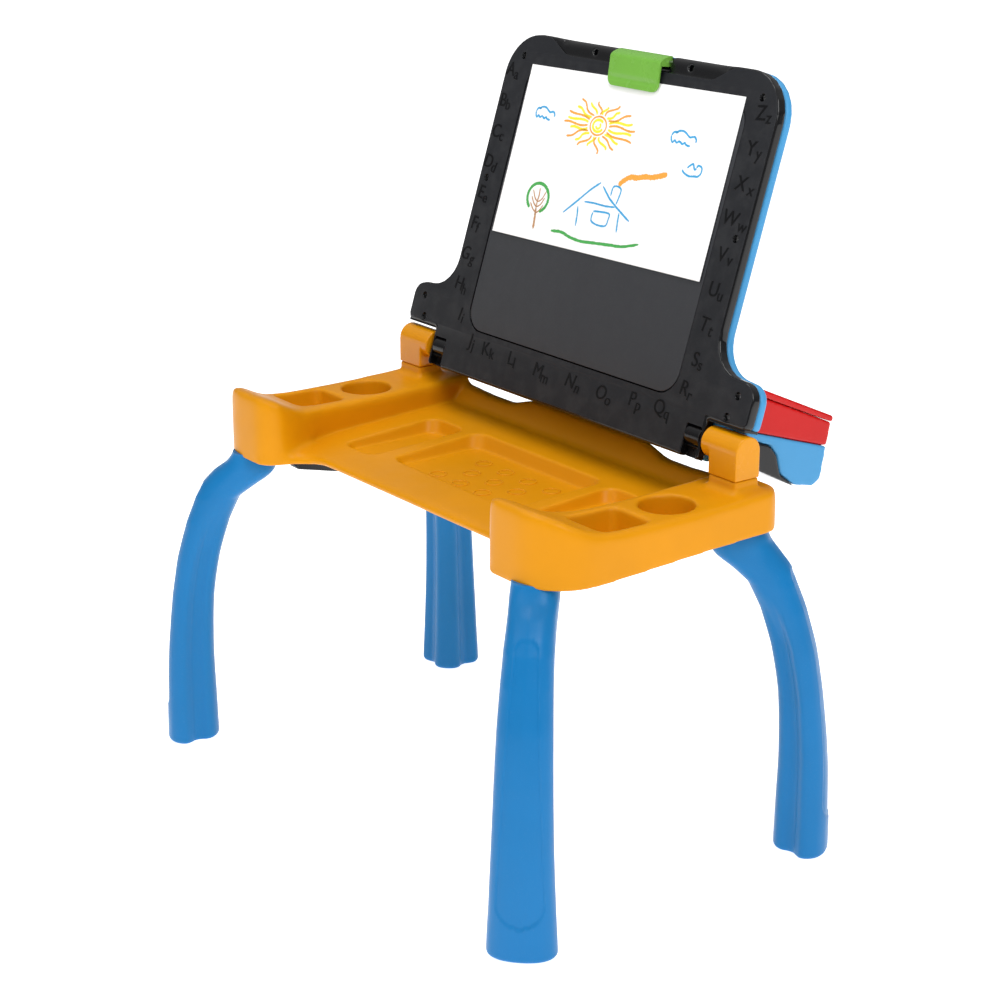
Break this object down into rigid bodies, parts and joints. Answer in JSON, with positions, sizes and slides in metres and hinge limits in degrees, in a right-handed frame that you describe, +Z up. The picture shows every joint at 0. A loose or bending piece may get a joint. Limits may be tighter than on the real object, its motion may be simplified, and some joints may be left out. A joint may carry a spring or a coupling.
{
  "type": "kids easel",
  "caption": "Plastic activity desk for a small child: a tray table on splayed legs with a folding easel board, a sprung paper clip and a lidded storage case behind.",
  "frame": {"origin": "on the floor, under the middle of the whole object's box", "axes": "+Z up, +X to the right of a child sitting at the desk, +Y away from that child, towards the easel board"},
  "size_m": [0.5988, 0.4096, 0.6768],
  "materials": {
    "tray_orange": "satin moulded",
    "leg_blue": "satin moulded",
    "shell_blue": "satin moulded",
    "frame_black": "fine grained, glossy at the rounded edge",
    "panel_grey": "matt chalkboard",
    "base_black": "glossy",
    "storage_red": "glossy moulded",
    "clip_green": "satin moulded",
    "paper_white": "uncoated drawing paper",
    "screw_steel": "zinc plated"
  },
  "bodies": {
    "table": {"tray": "tray_orange", "leg_front_left": "leg_blue", "leg_front_right": "leg_blue", "leg_rear_left": "leg_blue", "leg_rear_right": "leg_blue", "leg_rail_left": "base_black", "leg_rail_right": "base_black", "rail_screw_front_left": "screw_steel", "rail_screw_front_right": "screw_steel", "rail_screw_rear_left": "screw_steel", "rail_screw_rear_right": "screw_steel", "hinge_cap_left": "tray_orange", "hinge_cap_right": "tray_orange", "cap_screw_left": "screw_steel", "cap_screw_right": "screw_steel", "hinge_pin_left": "screw_steel", "hinge_pin_right": "screw_steel"},
    "board": {"front_frame": "frame_black", "drawing_panel": "panel_grey", "rear_shell": "shell_blue", "hinge_barrel_left": "base_black", "hinge_barrel_right": "base_black", "frame_screw_left_1": "screw_steel", "frame_screw_left_2": "screw_steel", "frame_screw_left_3": "screw_steel", "frame_screw_left_4": "screw_steel", "frame_screw_right_1": "screw_steel", "frame_screw_right_2": "screw_steel", "frame_screw_right_3": "screw_steel", "frame_screw_right_4": "screw_steel", "paper_sheet": "paper_white", "storage_bin": "storage_red", "case_base": "base_black", "clip_pin": "screw_steel", "clip_spring": "screw_steel", "lid_pin": "screw_steel"},
    "clip": {"paper_clip": "clip_green"},
    "lid": {"storage_lid": "storage_red"}
  },
  "joints": [
    {"name": "board_tilt", "type": "hinge", "parent": "table", "child": "board", "pos_m": [0, 0.07814, 0.3753], "axis": [1, 0, 0], "range_deg": [0, 107]},
    {"name": "clip_open", "type": "hinge", "parent": "board", "child": "clip", "pos_m": [0, 0.16592, 0.67111], "axis": [-1, 0, 0], "range_deg": [0, 30], "stiffness_Nm_per_rad": 0.25, "springref_deg": -20.05},
    {"name": "lid_open", "type": "hinge", "parent": "board", "child": "lid", "pos_m": [0, 0.10817, 0.41946], "axis": [1, 0, 0], "range_deg": [0, 80]}
  ]
}
